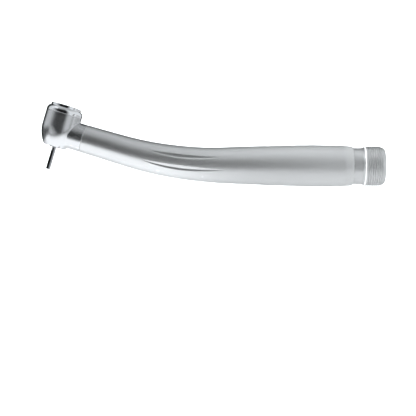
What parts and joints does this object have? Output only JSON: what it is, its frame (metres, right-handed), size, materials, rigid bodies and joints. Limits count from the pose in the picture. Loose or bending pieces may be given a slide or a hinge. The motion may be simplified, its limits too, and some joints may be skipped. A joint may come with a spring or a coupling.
{
  "type": "high speed dental handpiece",
  "caption": "Air-turbine dental handpiece with a push-button chuck head, bent grooved handle, light generator and four-port rear connector.",
  "frame": {"origin": "centre of the rear connector's rear end face, on the axis of its thread", "axes": "+X out of the rear along the connector's axis, towards the hose; the head is at -X; +Z is the side the push button is on; +Y completes the right-handed frame"},
  "size_m": [0.1242, 0.015, 0.0301],
  "materials": {
    "satin_steel": "bead-blasted satin",
    "polished_cap": "mirror polish",
    "turned_steel": "fine turned",
    "ground_steel": "ground",
    "blued_steel": "dark polished",
    "spring_steel": "drawn wire",
    "tube_steel": "drawn, bright",
    "connector_steel": "turned, brushed",
    "screw_steel": "machined",
    "turbine_alloy": "gold anodised",
    "drive_tube_brass": "drawn",
    "bush_bronze": "sintered",
    "core_iron": "stacked laminations",
    "coil_copper": "enamelled wire",
    "magnet_nickel": "nickel plated",
    "black_aluminium": "anodised",
    "clamp_aluminium": "machined",
    "cage_brown": "cloth-filled resin",
    "ball_ceramic": "lapped silicon nitride",
    "o_ring_black": "matt",
    "valve_red": "matt",
    "gasket_green": "satin silicone",
    "vane_resin": "moulded",
    "wire_red": "enamelled",
    "light_brass": "gold plated",
    "lens_glass": "clear"
  },
  "bodies": {
    "handpiece": {"head_housing": "satin_steel", "back_cap": "polished_cap", "button_spring": "spring_steel", "front_outer_race": "ground_steel", "front_shield": "ground_steel", "rear_outer_race": "ground_steel", "rear_shield": "ground_steel", "front_o_ring": "o_ring_black", "rear_o_ring": "o_ring_black", "wave_washer": "spring_steel", "dust_ring": "screw_steel", "spray_nozzles": "turned_steel", "led_lens": "lens_glass", "led_module": "light_brass", "handle_shell": "satin_steel", "neck_manifold": "turned_steel", "neck_o_ring": "o_ring_black", "drive_air_tube": "drive_tube_brass", "water_tube": "tube_steel", "chip_air_tube": "tube_steel", "led_wires": "wire_red", "tube_clamp": "clamp_aluminium", "locating_screw": "screw_steel", "connector_body": "connector_steel", "connector_o_ring": "o_ring_black", "port_block": "turned_steel", "port_gasket": "gasket_green", "drive_port_tube": "tube_steel", "exhaust_port_tube": "tube_steel", "water_port_tube": "tube_steel", "chip_port_tube": "tube_steel", "drive_inlet_tube": "drive_tube_brass", "drive_filter": "tube_steel", "generator_housing": "black_aluminium", "generator_end_cap": "black_aluminium", "generator_coil": "coil_copper", "generator_core": "core_iron", "generator_front_bush": "bush_bronze", "generator_rear_bush": "bush_bronze", "check_valve_spring": "spring_steel"},
    "button": {"push_button": "polished_cap", "button_circlip": "spring_steel"},
    "rotor": {"spindle": "ground_steel", "impeller": "turbine_alloy", "collet": "blued_steel", "front_inner_race": "ground_steel", "rear_inner_race": "ground_steel", "chuck_spring": "spring_steel"},
    "chuck_pusher": {"chuck_pusher": "turned_steel"},
    "bur": {"test_bur": "blued_steel"},
    "front_balls_and_cage": {"front_cage": "cage_brown", "front_balls": "ball_ceramic"},
    "rear_balls_and_cage": {"rear_cage": "cage_brown", "rear_balls": "ball_ceramic"},
    "generator_rotor": {"generator_magnet": "magnet_nickel", "generator_shaft": "ground_steel", "generator_vane_wheel": "vane_resin"},
    "water_valve": {"check_valve_ball": "valve_red"}
  },
  "joints": [
    {"name": "rotor_spin", "type": "hinge", "parent": "handpiece", "child": "rotor", "pos_m": [-0.11785, 0, 0.01194], "axis": [0.279, 0, 0.9603], "continuous": true},
    {"name": "front_cage_spin", "type": "hinge", "parent": "handpiece", "child": "front_balls_and_cage", "pos_m": [-0.11785, 0, 0.01194], "axis": [0.279, 0, 0.9603], "continuous": true},
    {"name": "rear_cage_spin", "type": "hinge", "parent": "handpiece", "child": "rear_balls_and_cage", "pos_m": [-0.11785, 0, 0.01194], "axis": [0.279, 0, 0.9603], "continuous": true},
    {"name": "button_press", "type": "slide", "parent": "handpiece", "child": "button", "axis": [-0.279, 0, -0.9603], "range_m": [0, 0.001], "deforming": ["button_spring"]},
    {"name": "chuck_release", "type": "slide", "parent": "rotor", "child": "chuck_pusher", "axis": [-0.279, 0, -0.9603], "range_m": [0, 0.0005], "deforming": ["chuck_spring"]},
    {"name": "bur_release", "type": "slide", "parent": "rotor", "child": "bur", "axis": [-0.279, 0, -0.9603], "range_m": [0, 0.0065]},
    {"name": "generator_spin", "type": "hinge", "parent": "handpiece", "child": "generator_rotor", "pos_m": [-0.03, 0, -0.0015], "axis": [1, 0, 0], "continuous": true},
    {"name": "water_valve_open", "type": "slide", "parent": "handpiece", "child": "water_valve", "axis": [-1, 0, 0], "range_m": [0, 0.0005], "deforming": ["check_valve_spring"]}
  ],
  "couplings": [
    {"joint": "front_cage_spin", "follows": "rotor_spin", "ratio": 0.41601},
    {"joint": "rear_cage_spin", "follows": "rotor_spin", "ratio": 0.41601},
    {"joint": "chuck_release", "follows": "button_press", "ratio": 0.5}
  ]
}
